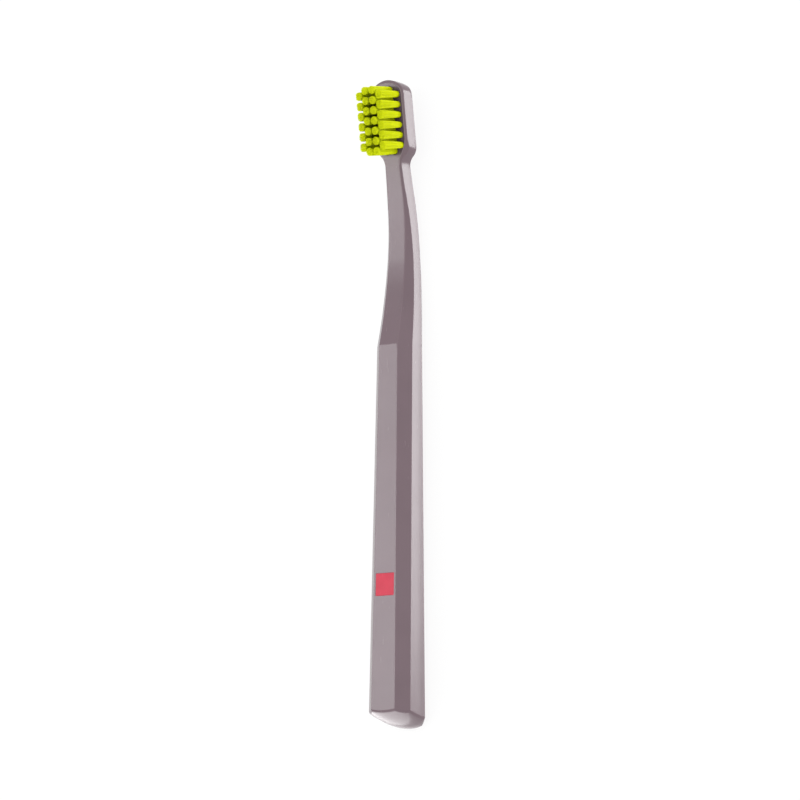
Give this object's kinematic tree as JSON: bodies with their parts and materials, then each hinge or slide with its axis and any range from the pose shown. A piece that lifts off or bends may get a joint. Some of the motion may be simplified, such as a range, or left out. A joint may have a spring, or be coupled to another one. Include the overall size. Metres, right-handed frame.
{
  "type": "toothbrush",
  "caption": "Manual toothbrush with a faceted one-piece handle, a slim neck and a small head set with tufts of soft bristles.",
  "frame": {"origin": "on the floor under the middle of the brush, which lies on its back", "axes": "+Y from the tail of the grip to the tip of the head, +Z the way the bristles point, +X the right-hand side seen from the bristles"},
  "size_m": [0.014, 0.1752, 0.0197],
  "materials": {
    "handle_plastic": "satin moulded plastic, mauve grey",
    "filament": "fine translucent lime-yellow bristle filament",
    "anchor_brass": "bare drawn brass strip",
    "badge_red": "smooth red inlay"
  },
  "bodies": {
    "root": {"handle": "handle_plastic", "badge": "badge_red", "tuft_1_1": "filament", "tuft_1_2": "filament", "tuft_1_3": "filament", "tuft_1_4": "filament", "tuft_1_5": "filament", "tuft_1_6": "filament", "tuft_2_1": "filament", "tuft_2_2": "filament", "tuft_2_3": "filament", "tuft_2_4": "filament", "tuft_2_5": "filament", "tuft_2_6": "filament", "tuft_2_7": "filament", "tuft_3_1": "filament", "tuft_3_2": "filament", "tuft_3_3": "filament", "tuft_3_4": "filament", "tuft_3_5": "filament", "tuft_3_6": "filament", "tuft_3_7": "filament", "tuft_4_1": "filament", "tuft_4_2": "filament", "tuft_4_3": "filament", "tuft_4_4": "filament", "tuft_4_5": "filament", "tuft_4_6": "filament", "anchor_1_1": "anchor_brass", "anchor_1_2": "anchor_brass", "anchor_1_3": "anchor_brass", "anchor_1_4": "anchor_brass", "anchor_1_5": "anchor_brass", "anchor_1_6": "anchor_brass", "anchor_2_1": "anchor_brass", "anchor_2_2": "anchor_brass", "anchor_2_3": "anchor_brass", "anchor_2_4": "anchor_brass", "anchor_2_5": "anchor_brass", "anchor_2_6": "anchor_brass", "anchor_2_7": "anchor_brass", "anchor_3_1": "anchor_brass", "anchor_3_2": "anchor_brass", "anchor_3_3": "anchor_brass", "anchor_3_4": "anchor_brass", "anchor_3_5": "anchor_brass", "anchor_3_6": "anchor_brass", "anchor_3_7": "anchor_brass", "anchor_4_1": "anchor_brass", "anchor_4_2": "anchor_brass", "anchor_4_3": "anchor_brass", "anchor_4_4": "anchor_brass", "anchor_4_5": "anchor_brass", "anchor_4_6": "anchor_brass"}
  },
  "joints": []
}
